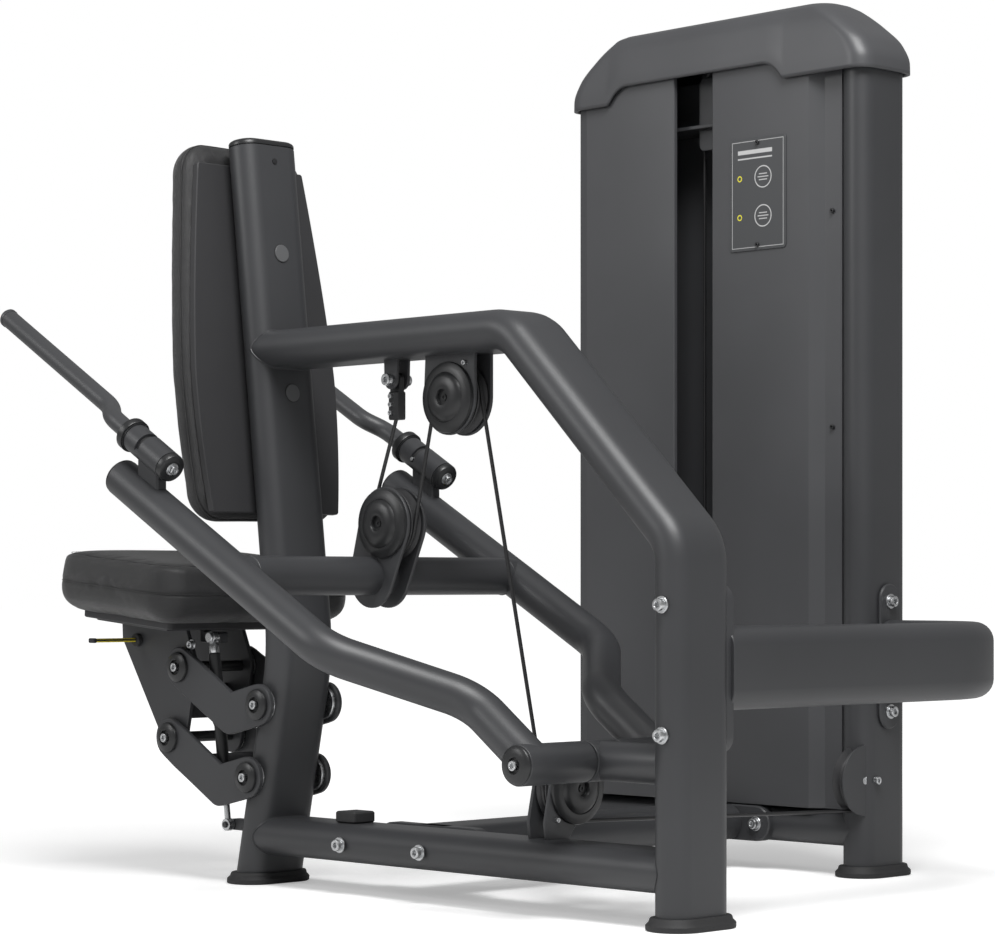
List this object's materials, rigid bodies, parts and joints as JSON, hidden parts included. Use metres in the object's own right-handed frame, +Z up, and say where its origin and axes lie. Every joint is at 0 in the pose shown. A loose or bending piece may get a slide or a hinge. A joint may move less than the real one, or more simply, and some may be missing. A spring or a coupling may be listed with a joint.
{
  "type": "triceps extension machine",
  "caption": "Seated triceps press machine: bent oval-tube frame, cable-driven press arm with swivelling grips, parallelogram seat and shrouded weight tower.",
  "frame": {"origin": "on the floor under the middle of the front column, at the underside of its rubber foot", "axes": "+Z up; the user sits facing -Y with the back towards the column; +X is the user's left; the weight tower stands on the -X side"},
  "size_m": [1.176, 1.3248, 1.454],
  "materials": {
    "frame_paint": "fine-texture satin powder coat",
    "dark_steel": "satin black",
    "steel": "bright zinc",
    "iron": "satin black paint",
    "rubber": "matt",
    "plastic": "satin",
    "board": "black covered board",
    "shroud": "fine-texture satin sheet",
    "placard": "satin",
    "cable": "black nylon coat",
    "upholstery": "satin black leatherette",
    "yellow": "satin"
  },
  "bodies": {
    "frame": {"spine_frame": "frame_paint", "front_foot": "rubber", "rear_foot": "rubber", "column_cap": "plastic", "arm_bumper": "rubber", "upper_pulley_axle": "dark_steel", "lower_pulley_axle": "dark_steel", "tower_pulley_axle": "steel", "cable_main": "cable", "cable_stack_run": "cable", "cable_anchor": "steel", "anchor_bolt": "steel", "front_crossmember": "frame_paint", "guard_tube": "frame_paint", "tower_front_foot": "rubber", "tower_rear_foot": "rubber", "tower_frame": "frame_paint", "tower_cap": "plastic", "shroud_near_front": "shroud", "shroud_near_rear": "shroud", "shroud_far": "shroud", "placard": "placard", "weight_plate_2": "iron", "weight_plate_3": "iron", "weight_plate_4": "iron", "guide_rod_front": "steel", "guide_rod_rear": "steel", "back_pad": "upholstery", "back_board": "board", "back_bolt_upper": "dark_steel", "back_bolt_lower": "dark_steel", "pin_column_upper": "dark_steel", "pin_column_lower": "dark_steel"},
    "press_arm": {"press_arm": "frame_paint", "arm_axle": "dark_steel", "arm_pulley_axle": "dark_steel"},
    "cable_wrap": {"cable_arm_wrap": "cable"},
    "cable_runs": {"cable_anchor_run": "cable", "cable_loop_run": "cable"},
    "arm_pulley": {"arm_pulley": "plastic"},
    "handle_left": {"handle_left": "frame_paint"},
    "handle_right": {"handle_right": "frame_paint"},
    "upper_pulley": {"upper_pulley": "plastic"},
    "lower_pulley": {"lower_pulley": "plastic"},
    "tower_pulley": {"tower_pulley": "plastic"},
    "head_pulley_rear": {"head_pulley_rear": "plastic"},
    "head_pulley_front": {"head_pulley_front": "plastic"},
    "stack": {"stack_head": "iron", "weight_plate_1": "iron"},
    "selector_pin": {"selector_pin": "yellow"},
    "seat_link_upper": {"seat_link_upper": "frame_paint"},
    "seat_link_lower": {"seat_link_lower": "frame_paint"},
    "seat": {"seat_pad": "upholstery", "seat_board": "board", "seat_carriage": "frame_paint", "pin_carriage_upper": "dark_steel", "pin_carriage_lower": "dark_steel"},
    "spring_rod": {"spring_rod": "steel"},
    "spring_cylinder": {"spring_cylinder": "steel"},
    "release_lever": {"release_lever": "yellow"}
  },
  "joints": [
    {"name": "arm_press", "type": "hinge", "parent": "frame", "child": "press_arm", "pos_m": [0, 0.745, 0.228], "axis": [1, 0, 0], "range_deg": [0, 35]},
    {"name": "cable_wrap_turn", "type": "hinge", "parent": "press_arm", "child": "cable_wrap", "pos_m": [0, 0.302, 0.577], "axis": [1, 0, 0], "range_deg": [-36, 0]},
    {"name": "cable_runs_follow", "type": "slide", "parent": "frame", "child": "cable_runs", "axis": [0, -0.3541, -0.9352], "range_m": [0, 0.341], "deforming": ["cable_anchor_run", "cable_loop_run"]},
    {"name": "arm_pulley_spin", "type": "hinge", "parent": "press_arm", "child": "arm_pulley", "pos_m": [0, 0.302, 0.577], "axis": [1, 0, 0], "range_deg": [-417, 0]},
    {"name": "handle_left_swivel", "type": "hinge", "parent": "press_arm", "child": "handle_left", "pos_m": [0.288, 0.107, 0.665], "axis": [0, 0.8704, -0.4924], "range_deg": [0, 180]},
    {"name": "handle_right_swivel", "type": "hinge", "parent": "press_arm", "child": "handle_right", "pos_m": [-0.288, 0.107, 0.665], "axis": [0, -0.8704, 0.4924], "range_deg": [0, 180]},
    {"name": "upper_pulley_spin", "type": "hinge", "parent": "frame", "child": "upper_pulley", "pos_m": [0, 0.45, 0.766], "axis": [1, 0, 0], "range_deg": [0, 764]},
    {"name": "lower_pulley_spin", "type": "hinge", "parent": "frame", "child": "lower_pulley", "pos_m": [-0.05, 0.632, 0.181], "axis": [0, 1, 0], "range_deg": [-764, 0]},
    {"name": "tower_pulley_spin", "type": "hinge", "parent": "frame", "child": "tower_pulley", "pos_m": [-0.734, 0.632, 0.16], "axis": [0, 1, 0], "range_deg": [-764, 0]},
    {"name": "head_pulley_rear_spin", "type": "hinge", "parent": "frame", "child": "head_pulley_rear", "pos_m": [-0.784, 0.582, 1.342], "axis": [1, 0, 0], "range_deg": [-764, 0]},
    {"name": "head_pulley_front_spin", "type": "hinge", "parent": "frame", "child": "head_pulley_front", "pos_m": [-0.784, 0.3, 1.342], "axis": [1, 0, 0], "range_deg": [-764, 0]},
    {"name": "stack_lift", "type": "slide", "parent": "frame", "child": "stack", "axis": [0, 0, 1], "range_m": [0, 0.667], "deforming": ["cable_stack_run"]},
    {"name": "selector_pull", "type": "slide", "parent": "stack", "child": "selector_pin", "axis": [1, 0, 0], "range_m": [0, 0.06]},
    {"name": "seat_lift", "type": "hinge", "parent": "frame", "child": "seat_link_upper", "pos_m": [0, 0.064, 0.291], "axis": [-1, 0, 0], "range_deg": [0, 15]},
    {"name": "seat_lower_link", "type": "hinge", "parent": "frame", "child": "seat_link_lower", "pos_m": [0, 0.037, 0.174], "axis": [-1, 0, 0], "range_deg": [0, 15]},
    {"name": "seat_level", "type": "hinge", "parent": "seat_link_upper", "child": "seat", "pos_m": [0, -0.139, 0.347], "axis": [1, 0, 0], "range_deg": [0, 15]},
    {"name": "spring_tilt", "type": "hinge", "parent": "frame", "child": "spring_rod", "pos_m": [0.045, -0.047, 0.092], "axis": [-1, 0, 0], "range_deg": [0, 6]},
    {"name": "spring_stroke", "type": "slide", "parent": "spring_rod", "child": "spring_cylinder", "axis": [0, -0.1273, 0.9919], "range_m": [0, 0.058]},
    {"name": "lever_turn", "type": "hinge", "parent": "seat", "child": "release_lever", "pos_m": [0.0633, -0.262, 0.38973], "axis": [-1, 0, 0], "range_deg": [0, 20], "stiffness_Nm_per_rad": 0.1}
  ],
  "couplings": [
    {"joint": "arm_pulley_spin", "follows": "arm_press", "ratio": -11.9},
    {"joint": "upper_pulley_spin", "follows": "arm_press", "ratio": 21.8},
    {"joint": "lower_pulley_spin", "follows": "arm_press", "ratio": -21.8},
    {"joint": "tower_pulley_spin", "follows": "arm_press", "ratio": -21.8},
    {"joint": "head_pulley_rear_spin", "follows": "arm_press", "ratio": -21.8},
    {"joint": "head_pulley_front_spin", "follows": "arm_press", "ratio": -21.8},
    {"joint": "cable_wrap_turn", "follows": "arm_press", "ratio": -1},
    {"joint": "cable_runs_follow", "follows": "arm_press", "m_per_rad": 0.5555},
    {"joint": "stack_lift", "follows": "arm_press", "m_per_rad": 1.09},
    {"joint": "seat_lower_link", "follows": "seat_lift", "ratio": 1},
    {"joint": "seat_level", "follows": "seat_lift", "ratio": 1},
    {"joint": "spring_tilt", "follows": "seat_lift", "ratio": 0.3},
    {"joint": "spring_stroke", "follows": "seat_lift", "m_per_rad": 0.1849}
  ]
}
